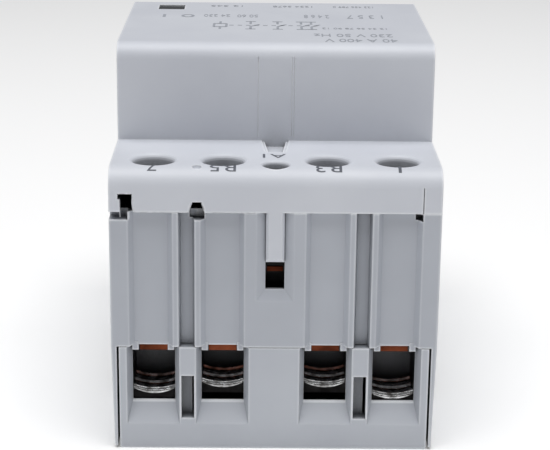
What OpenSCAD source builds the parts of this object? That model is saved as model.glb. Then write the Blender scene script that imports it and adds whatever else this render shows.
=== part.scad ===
// Four-pole contactor for a 35 mm rail, lying on its back: +Z points out of the front face,
// X runs across the width and Y along the height. The line end is at -Y, the load end at +Y.

/* [Case] */
// Width across the modules, along X
case_w = 53.5; // [53:0.1:54]
// Height from the line end to the load end, along Y
case_h = 85; // [84:0.5:86]
// Depth from the back to the top of the nose, along Z
case_d = 64.5; // [64:0.1:66]
// Length of the raised nose, along Y
nose_h = 45; // [44:0.5:45]
// Height of the two shoulders above the back
shoulder_z = 48; // [47.5:0.1:48.5]
// Height of the joint between the cover and the base
skirt_z = 41; // [40.8:0.1:41.2]
// Height of the joint between the base and the terminal inserts
ledge_z = 18; // [17.8:0.1:18.2]
// Thickness of the moulded walls
wall = 1.55; // [1.4:0.05:1.7]

/* [Main terminals] */
// Distance of the inner poles from the middle
inner_pole = 8.5; // [8.4:0.1:8.6]
// Distance of the outer poles from the middle
outer_pole = 19.9; // [19.8:0.1:20]
// Distance of the main screws from the middle
main_screw_y = 35.7; // [35.6:0.05:35.8]
// Radius of the main screw's shank
main_screw_r = 2.45; // [2.4:0.01:2.46]
// Width of the wire opening
entry_w = 7; // [6.8:0.1:7.2]
// Height of the sill behind the funnel
sill_z = 7.8; // [7.6:0.1:8]
// How far each line clamp is screwed up from fully open, poles 1 to 4
line_clamp_up = [0, 2.0, 1.9, 0.75]; // [0:0.05:4]
// How far each load clamp is screwed up from fully open, poles 1 to 4
load_clamp_up = [0.3, 0, 0.6, 0]; // [0:0.05:4]

/* [Coil terminals] */
// Distance of the coil screws from the middle
coil_screw_y = 38.4; // [38.3:0.05:38.5]
// Radius of the coil screw's shank
coil_screw_r = 1.45; // [1.4:0.01:1.46]
// Height of the coil wire opening's sill
coil_sill_z = 27.85; // [27.7:0.05:28]

/* [Magnet and contacts] */
// Stroke of the armature, from released to closed
stroke = 3; // [2.8:0.1:3]
// Height of the core's pole faces
pole_face_z = 27; // [26.5:0.1:27.5]
// Height of the underside of the fixed contact arms
arm_z = 44; // [43.8:0.1:44]
// Radius of the silver contact tips
tip_r = 2.2; // [2:0.1:2.4]

/* [Rail foot] */
// Height of the face that rests on the rail's brims
rail_seat_z = 5; // [4.9:0.1:5.1]
// Width of the rail over its brims
rail_w = 35; // [34.8:0.1:35.2]
// Stroke of the sliding foot
foot_stroke = 3; // [2.5:0.5:3]

/* [Hidden] */
$fn = 64;
eps = 0.5;
x_half = case_w / 2;
y_half = case_h / 2;
nose_half = nose_h / 2;
shoulder_edge_r = 3.2;
nose_edge_r = 2.6;
inner_edge_r = 1.4;
poles = [1, 2, 3, 4];
pole_xs = [outer_pole, inner_pole, -inner_pole, -outer_pole];
inside_x = x_half - wall;
light_grey = "#d2d5da";
bright_steel = "#b9bcc0";
copper = "#a8643c";
silver = "#d8d8d4";
black_plastic = "#2b2d30";

// end walls and the chamber between them
chamber_y = 29.6;
chamber_floor_z = 7;
insert_back_y = 31.2;
insert_gap = 0.35;
insert_x = x_half - 1.25;
cheek_draft = 0.45;

// clamp wells
well_half = 4.7;
well_front_y = 39.9;
shelf_z = 28.9;
shelf_t = 1.5;
shelf_play = 0.15;
bushing_r = 4;
driver_r = 3.3;
driver_lip = 0.9;

// clamp cages
cage_half = 4.5;
cage_front_y = 39.6;
cage_back_y = 31.8;
jaw_z = sill_z + 0.05;
jaw_rise = 1;
jaw_t = 0.9;
nut_z = 18.5;
nut_t = 2.2;
bar_z = 16.45;
bar_t = 1.4;
bar_half = 2.3;
bar_tip_y = 39.75;
running = 0.05;
main_head_r = 3;
main_head_z = shelf_z + shelf_t + 0.1;
main_head_t = 3;

// coil clamps
coil_well_half = 2.65;
coil_well_front_y = 40.9;
coil_well_back_y = 35.9;
coil_shelf_z = 35.7;
coil_shelf_t = 0.7;
coil_bar_z = 30.6;
coil_bar_t = 0.8;
coil_jaw_z = 27.4;
coil_jaw_t = 0.8;
coil_nut_z = coil_bar_z + coil_bar_t + 0.2;
coil_nut_t = 1.6;
coil_head_r = 2;
coil_head_t = 2.2;
coil_head_z = coil_shelf_z + coil_shelf_t + 0.1;
coil_driver_r = 2.1;
coil_driver_lip = 0.6;
coil_bushing_r = 2.42;
coil_bushing_drop = 1.5;

// indicator window
pane_low = [-21.7, 12];
pane_high = [-16.9, 17];
pane_flange = 0.6;

// magnet
core_x = 21;
core_y = 8;
core_back_t = 6;
core_leg = 5.5;
core_centre_half = 6;
pad_t = 1.3;
core_z = chamber_floor_z + pad_t;
armature_gap = 0.1;
armature_z = pole_face_z + stroke + armature_gap;
armature_t = 4.5;
flange_t = 1.2;
bobbin_z = core_z + core_back_t + 0.3;
bobbin_top_z = pole_face_z - 0.4;
bobbin_x = 15.2;
bobbin_y = 17;

// crossbar and contacts
bar_plate_z = armature_z + armature_t;
bar_plate_t = 1.6;
column_y = 5;
beam_z = 57;
beam_t = 2;
arm_t = 1.4;
tip_t = 1;
tip_y = 13.5;
tip_gap = 0.1;
bridge_half = 3;
bridge_y = 16;
bridge_t = 1.2;
make_bridge_z = arm_z + arm_t + 2 * tip_t + stroke + tip_gap;
break_bridge_z = arm_z - 2 * tip_t - tip_gap - bridge_t;
return_spring_x = 23.2;
return_spring_z = 22;
return_spring_r = 1.5;
spring_wire = 0.5;

// rail foot
brim_half = rail_w / 2 + 0.1;
foot_top_z = 3.4;
foot_mid_z = 1.6;
foot_low_z = 0.5;
foot_wide = 6;
foot_narrow = 4;
foot_end_y = 39.2;
foot_slot_low_y = 20;
foot_slot_high_y = 30;
foot_lug_y = 28;

// Box between two opposite corners
module block(low, high) {
    translate(low) cube(high - low);
}

// Outline in Y and Z, carried along X
module along_x(low, high) {
    translate([low, 0, 0]) rotate([90, 0, 90]) linear_extrude(high - low) children();
}

// Outline in X and Z, carried along Y
module along_y(low, high) {
    translate([0, high, 0]) rotate([90, 0, 0]) linear_extrude(high - low) children();
}

// Outline in X and Y, carried along Z
module along_z(low, high) {
    translate([0, 0, low]) linear_extrude(high - low) children();
}

module both_ends() {
    children();
    mirror([0, 1, 0]) children();
}

module both_sides() {
    children();
    mirror([1, 0, 0]) children();
}

module at_poles() {
    for (x = pole_xs) translate([x, 0, 0]) children();
}

// A line-end shape, or its mirror image at the load end
module at_end(line) {
    if (line) {
        children();
    } else {
        mirror([0, 1, 0]) children();
    }
}

// Box whose mouth flares from half width near to half width far, with a sloped sill
module funnel(mouth_half, throat_half, mouth_z, throat_z, top_z, throat_y) {
    slope = (throat_z - mouth_z) / (y_half - throat_y);
    flare = (mouth_half - throat_half) / (y_half - throat_y);
    out_y = y_half + eps;
    in_y = throat_y - 0.1;
    intersection() {
        along_z(0, top_z) polygon([
            [-mouth_half - eps * flare, -out_y],
            [mouth_half + eps * flare, -out_y],
            [throat_half - 0.1 * flare, -in_y],
            [-throat_half + 0.1 * flare, -in_y]
        ]);
        along_x(-mouth_half - eps, mouth_half + eps) polygon([
            [-out_y, mouth_z - eps * slope],
            [-in_y, throat_z + 0.1 * slope],
            [-in_y, top_z],
            [-out_y, top_z]
        ]);
    }
}

// Flat with a rounded edge along each long side, as an outline in Y and Z
module soft_top(half, low, high, r) {
    translate([-half, low]) square([2 * half, high - low - r]);
    translate([r - half, low]) square([2 * (half - r), high - low]);
    for (side = [-1, 1]) translate([side * (half - r), high - r]) circle(r);
}

module rounded_square(half_x, half_y, r) {
    square([2 * half_x, 2 * (half_y - r)], center = true);
    square([2 * (half_x - r), 2 * half_y], center = true);
    for (sx = [-1, 1], sy = [-1, 1]) translate([sx * (half_x - r), sy * (half_y - r)]) circle(r);
}

// ---- base ----

// Case below the skirt, with drafted cheeks below the ledge
module base_outline() {
    foot_x = x_half - cheek_draft;
    along_y(-y_half, y_half) polygon([
        [-foot_x, 0], [foot_x, 0], [x_half, ledge_z], [x_half, skirt_z],
        [-x_half, skirt_z], [-x_half, ledge_z]
    ]);
}

// Sunk panel of the end wall, with sloped sides
module wall_panel(low, high, depth, slope) {
    along_z(ledge_z - eps, skirt_z + eps) polygon([
        [low, -y_half - eps], [high, -y_half - eps], [high, -y_half],
        [high - slope, depth - y_half], [low + slope, depth - y_half], [low, -y_half]
    ]);
}

// Ribs, grooves and sunk panels of an end wall
module end_wall_relief() {
    panel_depth = 1.2;
    panel_slope = 0.8;
    groove_depth = 1.9;
    groove_slope = 0.35;
    inner_panel = [4.95, 12.1];
    groove = [13, 15.67];
    outer_panel = [16.6, 23.75];
    notch_z = 39.7;
    notch_depth = 2.4;
    both_sides() {
        for (panel = [inner_panel, outer_panel]) wall_panel(panel[0], panel[1], panel_depth, panel_slope);
        wall_panel(groove[0], groove[1], groove_depth, groove_slope);
    }
    // latch notches in the left corner, the left rib and beside the right corner
    over_z = skirt_z + eps;
    corner_notch = [-x_half - eps, -outer_panel[1], over_z];
    rib_notch = [-13.84, -11.43, over_z];
    side_notch = [22.6, outer_panel[1], 40.8];
    for (notch = [corner_notch, rib_notch, side_notch])
        block([notch[0], -y_half - eps, notch_z], [notch[1], notch_depth - y_half, notch[2]]);
}

// Well that guides a main clamp, the shelf hole for its screw and the well above it
module main_well() {
    head_half = bushing_r + 0.2;
    block([-well_half, -well_front_y, ledge_z - eps], [well_half, -insert_back_y, shelf_z]);
    well_back_y = head_half - main_screw_y;
    block([-head_half, -well_front_y, shelf_z + shelf_t], [head_half, well_back_y, skirt_z + eps]);
    translate([0, -main_screw_y, shelf_z - eps])
        cylinder(r = main_screw_r + shelf_play, h = shelf_t + 2 * eps);
}

module main_bar_slot() {
    play = 0.2;
    half = bar_half + 0.2;
    block([-half, -insert_back_y - eps, bar_z - play], [half, eps - chamber_y, bar_z + bar_t + play]);
}

module coil_well() {
    half = coil_well_half;
    entry_half = 1.55;
    entry_top_z = 32.5;
    mouth_half = 3.05;
    mouth_z = 26;
    mouth_depth = 0.9;
    bar_play = 0.1;
    passage_half = 1.5;
    for (step = [[25.5, coil_shelf_z], [coil_shelf_z + coil_shelf_t, skirt_z + eps]])
        block([-half, -coil_well_front_y, step[0]], [half, -coil_well_back_y, step[1]]);
    translate([0, -coil_screw_y, coil_shelf_z - eps])
        cylinder(r = coil_screw_r + shelf_play, h = coil_shelf_t + 2 * eps);
    // wire opening, its funnel and the channel for the cover's tongue
    block([-entry_half, -y_half - eps, coil_sill_z], [entry_half, eps - coil_well_front_y, entry_top_z]);
    funnel(mouth_half, entry_half + running, mouth_z, coil_sill_z, skirt_z + eps, y_half - mouth_depth);
    // passage for the coil bar and a core-out behind the well
    block(
        [-passage_half, -coil_well_back_y - eps, coil_bar_z - bar_play],
        [passage_half, eps - chamber_y, coil_bar_z + coil_bar_t + bar_play]
    );
    block([-half, -34.4, 33.2], [half, -31.1, skirt_z + eps]);
}

// Room for a terminal insert below the ledge
module insert_pocket() {
    block([-insert_x - insert_gap, -y_half - eps, -eps], [insert_x + insert_gap, -insert_back_y, ledge_z]);
    block([-x_half - eps, -y_half - eps, -eps], [x_half + eps, -insert_back_y, 0.4]);
}

// Rail channel across the back, deeper beside the seat in its middle
module rail_channel() {
    seat_y = 12;
    relief = 0.6;
    block([-x_half - eps, -brim_half, -eps], [x_half + eps, brim_half, rail_seat_z]);
    both_ends() block([-x_half - eps, -brim_half, 0], [x_half + eps, -seat_y, rail_seat_z + relief]);
}

// T-shaped way for the sliding foot
module foot_way(play) {
    wide = foot_wide + play;
    narrow = foot_narrow + play;
    polygon([
        [-narrow, foot_low_z - play], [narrow, foot_low_z - play], [narrow, foot_mid_z - play],
        [wide, foot_mid_z - play], [wide, foot_top_z + play], [-wide, foot_top_z + play],
        [-wide, foot_mid_z - play], [-narrow, foot_mid_z - play]
    ]);
}

module foot_way_cut() {
    play = 0.2;
    along_y(brim_half - eps, y_half + eps) {
        foot_way(play);
        translate([-foot_narrow - play, -eps]) square([2 * (foot_narrow + play), foot_mid_z]);
    }
}

// Hook under the rail's upper brim
module fixed_hook() {
    hook_x = 22;
    hook_top_z = 3.85;
    hook_low_z = 0.6;
    reach = 1.3;
    along_x(-hook_x, hook_x) polygon([
        [-brim_half - eps, hook_low_z], [-brim_half - eps, hook_top_z], [reach - brim_half, hook_top_z],
        [reach - brim_half, 2.9], [0.4 - brim_half, hook_low_z]
    ]);
}

module base_housing() {
    pocket_w = 6.2;
    pocket_depth = 4.6;
    post_r = 1.7;
    guide_t = 1;
    tab_z = 17.05;
    tab_t = 1.05;
    tab_x = entry_w / 2 - running;
    color(light_grey) union() {
        difference() {
            base_outline();
            block([-inside_x, -chamber_y, chamber_floor_z], [inside_x, chamber_y, skirt_z + eps]);
            both_ends() {
                insert_pocket();
                end_wall_relief();
                coil_well();
                at_poles() main_well();
                at_poles() main_bar_slot();
                both_sides() for (x = [9.2, 16.8]) block([x, -27.6, -eps], [x + pocket_w, -20, pocket_depth]);
            }
            rail_channel();
            foot_way_cut();
        }
        fixed_hook();
        // stop for the foot's spring
        block([-1.2, foot_lug_y, 1.2], [1.2, foot_lug_y + 1.2, foot_top_z + eps]);
        both_sides() {
            translate([return_spring_x, 0, chamber_floor_z - eps])
                cylinder(r = post_r, h = return_spring_z - chamber_floor_z + eps);
            both_ends()
                block([inside_x - guide_t, -20.6, chamber_floor_z - eps], [inside_x + eps, -16, skirt_z]);
        }
        // tabs that guide the wire at the corners of each opening
        both_ends() at_poles() both_sides()
            block([tab_x - tab_t, 1.1 - y_half, tab_z], [tab_x, 2.2 - y_half, ledge_z + eps]);
    }
}

// ---- terminal inserts ----

// Tall window in the post between two openings, open to the well on its +X side
module post_window(x) {
    low_z = 5.4;
    high_z = 12.9;
    width = 2.1;
    gap = 0.38;
    block([x, -y_half - eps, low_z], [x + width, -40.1, high_z]);
    block([x + width - gap, -y_half - eps, low_z], [x + width, -35, high_z]);
}

module terminal_block(line) {
    top_z = ledge_z - 0.1;
    floor_z = 6.4;
    mouth_half = 4.35;
    mouth_z = 4.3;
    pocket_depth = 4.2;
    color(light_grey) difference() {
        at_end(line) difference() {
            block([-insert_x, 0.05 - y_half, 0], [insert_x, -insert_back_y - 0.05, top_z]);
            at_poles() {
                block([-well_half, -well_front_y, floor_z], [well_half, -insert_back_y + eps, ledge_z]);
                block([-entry_w / 2, -y_half - eps, sill_z], [entry_w / 2, eps - well_front_y, ledge_z]);
                funnel(mouth_half, entry_w / 2, mouth_z, sill_z, ledge_z, well_front_y);
            }
            for (x = [-15.26, 13.16]) post_window(x);
            both_sides() {
                for (pocket = [[7.4, 12.4], [17.4, 22.8]])
                    block([pocket[0], -38.5, -eps], [pocket[1], -32.6, pocket_depth]);
            }
        }
        if (!line) foot_way_cut();
    }
}

// ---- cover ----

// Round hole with a rolled lip: half its section, turned about Z
module lipped_hole(r, lip_r, low_z, top_z) {
    lip = [for (angle = [0:22.5:90]) [r + lip_r * (1 - cos(angle)), top_z - lip_r * (1 - sin(angle))]];
    mouth = [r + lip_r, top_z + eps];
    rotate_extrude() polygon(concat([[0, low_z], [r, low_z]], lip, [mouth, [0, top_z + eps]]));
}

// Screwdriver hole in a shoulder
module driver_hole(y, r, low_z, lip_r) {
    translate([0, -y, 0]) lipped_hole(r, lip_r, low_z - eps, shoulder_z);
}

// Blind tapering dent in the shoulder, from the foot of the nose forward, with stepped side lips
module foot_dent() {
    back_half = 1.8;
    front_half = 1.1;
    front_y = -30.6;
    dent_depth = 1.1;
    lip = 0.5;
    translate([0, 0, shoulder_z - dent_depth]) linear_extrude(dent_depth + eps)
        polygon([
            [-back_half, -nose_half], [back_half, -nose_half],
            [front_half, front_y], [-front_half, front_y]
        ]);
    translate([0, 0, shoulder_z - lip / 2]) linear_extrude(lip / 2 + eps)
        polygon([
            [-back_half - lip, -nose_half], [back_half + lip, -nose_half],
            [front_half + lip, front_y], [-front_half - lip, front_y]
        ]);
}

module cover_outline() {
    along_x(-x_half, x_half) {
        soft_top(y_half, skirt_z, shoulder_z, shoulder_edge_r);
        soft_top(nose_half, skirt_z, case_d, nose_edge_r);
    }
}

module cover_inside() {
    along_x(-inside_x, inside_x) {
        soft_top(y_half - wall, skirt_z - eps, shoulder_z - wall, inner_edge_r);
        soft_top(nose_half - wall, skirt_z, case_d - wall - 0.2, inner_edge_r);
    }
}

// Latch windows in the skirt, the parting line at its right end and the marks on the shoulder
module cover_end_marks() {
    along_y(-y_half - eps, 2 * wall - y_half) {
        polygon([
            [-25.3, 44], [-23, 44], [-23.05, 42.4], [-22.7, 40],
            [-24.85, 40], [-24.95, 43], [-25.3, 43.1]
        ]);
        polygon([[-13.35, 42.7], [-11.88, 42.7], [-11.43, 41.6], [-11.43, 40], [-13.84, 40], [-13.84, 41.6]]);
    }
    block([23.65, -y_half - eps, skirt_z - eps], [23.8, 0.2 - y_half, 45.3]);
    foot_dent();
    translate([-12.7, -40, shoulder_z]) sphere(0.75);
}

// Wedge that closes the front of a coil well above its wire opening
module coil_tongue() {
    low_z = 32.6;
    front_y = -y_half;
    back_y = 0.85 - y_half;
    half = 1.5;
    bevel = 0.6;
    over = 0.1;
    front = front_y - over;
    difference() {
        block([-half, front_y, low_z], [half, back_y, skirt_z + 1]);
        both_sides() along_z(low_z - eps, skirt_z)
            polygon([[half - 0.5, front], [half + over, front], [half + over, front_y + bevel]]);
        along_x(-half - over, half + over)
            polygon([[front, low_z - over], [front_y + bevel, low_z - over], [front, low_z + bevel + over]]);
    }
}

// Block over the window's place, grown all round
module pane_hole(grow, low_z, high_z) {
    low = [pane_low[0] - grow, pane_low[1] - grow, low_z];
    block(low, [pane_high[0] + grow, pane_high[1] + grow, high_z]);
}

module front_cover() {
    window_play = 0.1;
    color(light_grey) difference() {
        union() {
            difference() {
                cover_outline();
                cover_inside();
            }
            both_ends() {
                at_poles() translate([0, -main_screw_y, main_head_z + main_head_t + 0.3])
                    cylinder(r = bushing_r, h = shoulder_z - main_head_z - main_head_t - 1);
                translate([0, -coil_screw_y, skirt_z - coil_bushing_drop])
                    cylinder(r = coil_bushing_r, h = shoulder_z - skirt_z + coil_bushing_drop - eps);
                coil_tongue();
            }
        }
        both_ends() {
            at_poles() driver_hole(main_screw_y, driver_r, main_head_z + main_head_t, driver_lip);
            driver_hole(coil_screw_y, coil_driver_r, skirt_z - coil_bushing_drop, coil_driver_lip);
        }
        cover_end_marks();
        rotate([0, 0, 180]) cover_end_marks();
        pane_hole(0, case_d - wall - 1, case_d + eps);
        pane_hole(pane_flange + window_play, case_d - wall - 0.9, case_d - 1);
    }
}

// Clear pane, held from inside by its flange
module indicator_window() {
    play = 0.05;
    color([0.12, 0.13, 0.15, 0.6]) {
        pane_hole(-play, case_d - 1.2, case_d - 0.15);
        pane_hole(pane_flange, case_d - 1.7, case_d - 1.05);
    }
}

// ---- coil and magnet ----

module coil_bobbin() {
    color(black_plastic) difference() {
        union() {
            for (z = [bobbin_z, bobbin_top_z - flange_t])
                along_z(z, z + flange_t) rounded_square(bobbin_x, bobbin_y, 1.5);
            along_z(bobbin_z, bobbin_top_z) rounded_square(core_centre_half + 1.3, core_y + 1.3, 1);
            // pins for the leads
            for (side = [-1, 1])
                block(
                    [9, side * 17.4 - 1.2, bobbin_top_z - flange_t],
                    [13, side * 17.4 + 1.2, bobbin_top_z + 1]
                );
        }
        along_z(bobbin_z - eps, bobbin_top_z + eps)
            square([2 * core_centre_half + 0.6, 2 * core_y + 0.6], center = true);
    }
}

module coil_winding() {
    color(copper) along_z(bobbin_z + flange_t + 0.05, bobbin_top_z - flange_t - 0.05) difference() {
        rounded_square(bobbin_x - 0.9, bobbin_y - 0.9, 4);
        rounded_square(core_centre_half + 1.35, core_y + 1.35, 1);
    }
}

// Laminated E core, with holes for its rivets
module magnet_core() {
    back_z = core_z + core_back_t;
    color(bright_steel) difference() {
        block([-core_x, -core_y, core_z], [core_x, core_y, pole_face_z]);
        both_sides()
            block(
                [core_centre_half, -core_y - eps, back_z],
                [core_x - core_leg, core_y + eps, pole_face_z + eps]
            );
        core_rivet_places() cylinder(r = 1.25, h = 2 * core_y + 2, center = true);
    }
}

module core_rivet_places() {
    for (x = [-18, -6, 6, 18]) translate([x, 0, core_z + 3]) rotate([90, 0, 0]) children();
}

module core_rivets() {
    color(bright_steel) core_rivet_places() {
        cylinder(r = 1.2, h = 2 * core_y + 0.8, center = true);
        for (end = [-1, 1])
            translate([0, 0, end * (core_y + 0.35)]) cylinder(r = 1.9, h = 0.6, center = true);
    }
}

// Rubber pads between the core and the floor
module core_pads() {
    color("#303030") for (sx = [-1, 1], sy = [-1, 1])
        translate([sx * 17, sy * 5, chamber_floor_z + pad_t / 2]) cube([6, 4, pad_t], center = true);
}

// Laminated yoke that the core pulls down
module armature() {
    color(bright_steel) block([-core_x, -core_y, armature_z], [core_x, core_y, armature_z + armature_t]);
}

// ---- crossbar and contacts ----

module contact_carrier() {
    plate_x = 24.9;
    ledge_t = 1.3;
    color(black_plastic) union() {
        block([-plate_x, -column_y, bar_plate_z], [plate_x, column_y, bar_plate_z + bar_plate_t]);
        block([-plate_x, -column_y, beam_z], [plate_x, column_y, beam_z + beam_t]);
        block([-2.4, -column_y, bar_plate_z], [2.4, column_y, beam_z + eps]);
        both_sides() {
            block([12.4, -column_y, bar_plate_z], [16, column_y, beam_z + eps]);
            block([23.7, -column_y, bar_plate_z], [plate_x, column_y, beam_z + eps]);
            // ledge under each make bridge, ledge over each break bridge
            block([15, -column_y, make_bridge_z - ledge_t], [24, column_y, make_bridge_z]);
            block(
                [2, -column_y, break_bridge_z + bridge_t],
                [13, column_y, break_bridge_z + bridge_t + ledge_t]
            );
        }
    }
}

function is_break(pole) = pole == 2 || pole == 3;
function bridge_z(pole) = is_break(pole) ? break_bridge_z : make_bridge_z;

module contact_bridge(pole) {
    color(copper) translate([pole_xs[pole - 1], 0, bridge_z(pole)])
        along_z(0, bridge_t) rounded_square(bridge_half, bridge_y, 1);
}

// Silver tips on the moving bridges: below the make bridges and above the break bridges
module bridge_tips() {
    contact_tips(break_bridge_z + bridge_t, make_bridge_z - tip_t);
}

// Silver tips on the fixed arms: above the make arms and below the break arms
module fixed_tips() {
    contact_tips(arm_z - tip_t, arm_z + arm_t);
}

// One pair of tips for each pole, at its own height
module contact_tips(break_z, make_z) {
    color(silver) for (pole = poles, side = [-1, 1])
        translate([pole_xs[pole - 1], side * tip_y, is_break(pole) ? break_z : make_z])
            cylinder(r = tip_r, h = tip_t);
}

// Outer shape of a compression spring, standing on Z
module spring_tube(r, low, high) {
    translate([0, 0, low]) difference() {
        cylinder(r = r, h = high - low);
        translate([0, 0, -eps]) cylinder(r = r - spring_wire, h = high - low + 2 * eps);
    }
}

// Spring that presses a bridge on its tips, above a make bridge or below a break bridge
module contact_spring(pole) {
    play = 0.05;
    low = is_break(pole) ? bar_plate_z + bar_plate_t : make_bridge_z + bridge_t;
    high = is_break(pole) ? break_bridge_z : beam_z;
    color(bright_steel) translate([pole_xs[pole - 1], 0, 0]) spring_tube(2.2, low + play, high - play);
}

module return_spring(side) {
    color(bright_steel) translate([side * return_spring_x, 0, 0])
        spring_tube(return_spring_r, return_spring_z + 0.05, bar_plate_z - 0.05);
}

// Flag on an arm of the crossbar, seen through the window
module status_flag() {
    color("#c23a2c") {
        block([-20.5, 1, beam_z + beam_t], [-18.1, 16.4, beam_z + beam_t + 0.9]);
        block([-20.5, 12.6, beam_z + beam_t], [-18.1, 16.4, 61]);
        block([-21.4, 12.4, 60.2], [-17.2, 16.6, 61.2]);
    }
}

// Four bars of one end: under the clamps, up behind the wall and in to the contact tips
module main_bars(line) {
    riser_y = 29.4;
    arm_end_y = 11.2;
    color(copper) at_end(line) at_poles() union() {
        block([-bar_half, -bar_tip_y, bar_z], [bar_half, bar_t - riser_y, bar_z + bar_t]);
        block([-bar_half, -riser_y, bar_z], [bar_half, bar_t - riser_y, arm_z + arm_t]);
        block([-bar_half, -riser_y, arm_z], [bar_half, -arm_end_y, arm_z + arm_t]);
    }
}

// Half of the frame that holds the fixed arms and parts the poles
module arc_chamber(line) {
    end_y = 20.6;
    near_y = 6.8;
    low_z = skirt_z + 0.1;
    top_z = 58.5;
    out_x = inside_x - 0.2;
    play = 0.1;
    slot_half = bar_half + 0.15;
    color(black_plastic) at_end(line) difference() {
        union() {
            for (x = [-14.2, 0, 14.2]) block([x - 0.7, -end_y, low_z], [x + 0.7, -near_y, top_z]);
            both_sides() block([out_x - 1, -end_y, low_z], [out_x, -near_y, top_z]);
            block([-out_x, -end_y, low_z], [out_x, 1.2 - end_y, top_z]);
            block([-out_x, -end_y, low_z], [out_x, -17, arm_z - play]);
        }
        at_poles()
            block([-slot_half, -end_y - eps, arm_z - play], [slot_half, 1.3 - end_y, arm_z + arm_t + play]);
    }
}

// ---- clamps ----

// Steel cage of a main clamp, raised from fully open
module main_cage(line, pole) {
    up = line ? line_clamp_up[pole - 1] : load_clamp_up[pole - 1];
    half = entry_w / 2;
    jaw_r = (half * half + jaw_rise * jaw_rise) / (2 * jaw_rise);
    color(bright_steel) at_end(line) translate([pole_xs[pole - 1], 0, up]) difference() {
        block([-cage_half, -cage_front_y, jaw_z - jaw_t], [cage_half, -cage_back_y, nut_z + nut_t]);
        along_y(-cage_front_y - eps, eps - cage_back_y) {
            translate([-half, jaw_z + jaw_rise]) square([entry_w, nut_z - jaw_z - jaw_rise]);
            intersection() {
                translate([0, jaw_z + jaw_r]) circle(jaw_r, $fn = 96);
                translate([-half, jaw_z - eps]) square([entry_w, jaw_rise + 2 * eps]);
            }
        }
        translate([0, -main_screw_y, nut_z - eps]) cylinder(r = main_screw_r + running, h = nut_t + 2 * eps);
    }
}

// Screw with a slotted and crossed head
module clamp_screw(shank_r, tip_z, head_r, head_z, head_t, slot_w) {
    slot_t = head_t * 0.55;
    difference() {
        union() {
            translate([0, 0, tip_z]) cylinder(r = shank_r, h = head_z - tip_z + eps);
            translate([0, 0, head_z]) cylinder(r = head_r, h = head_t);
        }
        for (turn = [0, 90]) rotate([0, 0, turn])
            translate([0, 0, head_z + head_t - slot_t / 2 + eps / 2])
                cube([turn == 0 ? 3 * head_r : 1.3 * head_r, slot_w, slot_t + eps], center = true);
    }
}

module main_screw(line, pole) {
    color(bright_steel) at_end(line) translate([pole_xs[pole - 1], -main_screw_y, 0])
        clamp_screw(main_screw_r, bar_z + bar_t + 0.05, main_head_r, main_head_z, main_head_t, 1);
}

module coil_bars() {
    color(copper) both_ends()
        block([-1.3, -40.6, coil_bar_z], [1.3, -27.5, coil_bar_z + coil_bar_t]);
}

module coil_cage(line) {
    half = 2.4;
    front_y = 40.7;
    back_y = 36.1;
    color(bright_steel) at_end(line) difference() {
        block([-half, -front_y, coil_jaw_z - coil_jaw_t], [half, -back_y, coil_nut_z + coil_nut_t]);
        block([-half + 0.7, -front_y - eps, coil_jaw_z], [half - 0.7, eps - back_y, coil_nut_z]);
        translate([0, -coil_screw_y, coil_nut_z - eps])
            cylinder(r = coil_screw_r + running, h = coil_nut_t + 2 * eps);
    }
}

module coil_screw(line) {
    color(bright_steel) at_end(line) translate([0, -coil_screw_y, 0])
        clamp_screw(coil_screw_r, coil_bar_z + coil_bar_t + 0.05, coil_head_r, coil_head_z, coil_head_t, 0.7);
}

// ---- wiring ----

// Wire through a list of points, as eight-sided rods that run on past each bend
module wire(points, r) {
    past = 0.4 * r;
    for (i = [0:len(points) - 2]) {
        step = points[i + 1] - points[i];
        length = norm(step);
        translate(points[i]) rotate([0, acos(step[2] / length), atan2(step[1], step[0])])
            translate([0, 0, -past]) cylinder(r = r, h = length + 2 * past, $fn = 8);
    }
}

module coil_leads() {
    lead_r = 0.45;
    pin_z = bobbin_top_z + 1 + lead_r;
    bar_y = 28.4;
    under_bar_z = coil_bar_z - lead_r;
    line_bar = [0, -bar_y, under_bar_z];
    load_bar = [0, bar_y, under_bar_z];
    color("#b03028") wire([[11, -17.6, pin_z], [11, -21, pin_z], line_bar], lead_r);
    color("#b03028") wire([[11, 17.6, pin_z], [11, 20, pin_z], [9, 21.3, 29.5]], lead_r);
    color("#2a3a5c") wire([[-6, 23.9, 29], [-2, 26, 29.6], load_bar], lead_r);
}

// Suppressor and rectifier board on the load side of the coil
module rectifier_board() {
    board_y = 22;
    color("#2f6b3c") block([-12, board_y, chamber_floor_z + 0.05], [12, board_y + 1.2, 31]);
    color(black_plastic) {
        for (x = [-9, -4, 1]) block([x, board_y + 1.2, 12], [x + 2.6, board_y + 3.2, 17]);
        translate([7.5, board_y + 1.2, 22]) rotate([-90, 0, 0]) cylinder(r = 4, h = 2.6);
    }
}

// ---- rail foot ----

module rail_clip() {
    brim_y = rail_w / 2;
    color(black_plastic) difference() {
        union() {
            along_y(brim_half + 0.1, foot_end_y) foot_way(0);
            along_x(-foot_narrow, foot_narrow) polygon([
                [brim_half + eps, 0.6], [brim_half + eps, foot_top_z], [brim_y - 1.3, foot_top_z],
                [brim_y - 1.3, 2.6], [brim_y - 0.4, 0.6]
            ]);
        }
        block([-1.9, foot_slot_low_y, -eps], [1.9, foot_slot_high_y + foot_stroke - 1, foot_top_z + eps]);
        // slot for the blade that pulls the foot back
        block([-2.6, foot_end_y - 3, -eps], [2.6, foot_end_y - 1.6, foot_top_z + eps]);
    }
}

module rail_clip_spring() {
    color(bright_steel) translate([0, foot_slot_low_y + 0.05, 2]) rotate([-90, 0, 0])
        spring_tube(1.2, 0, foot_lug_y - foot_slot_low_y - 0.1);
}

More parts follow.
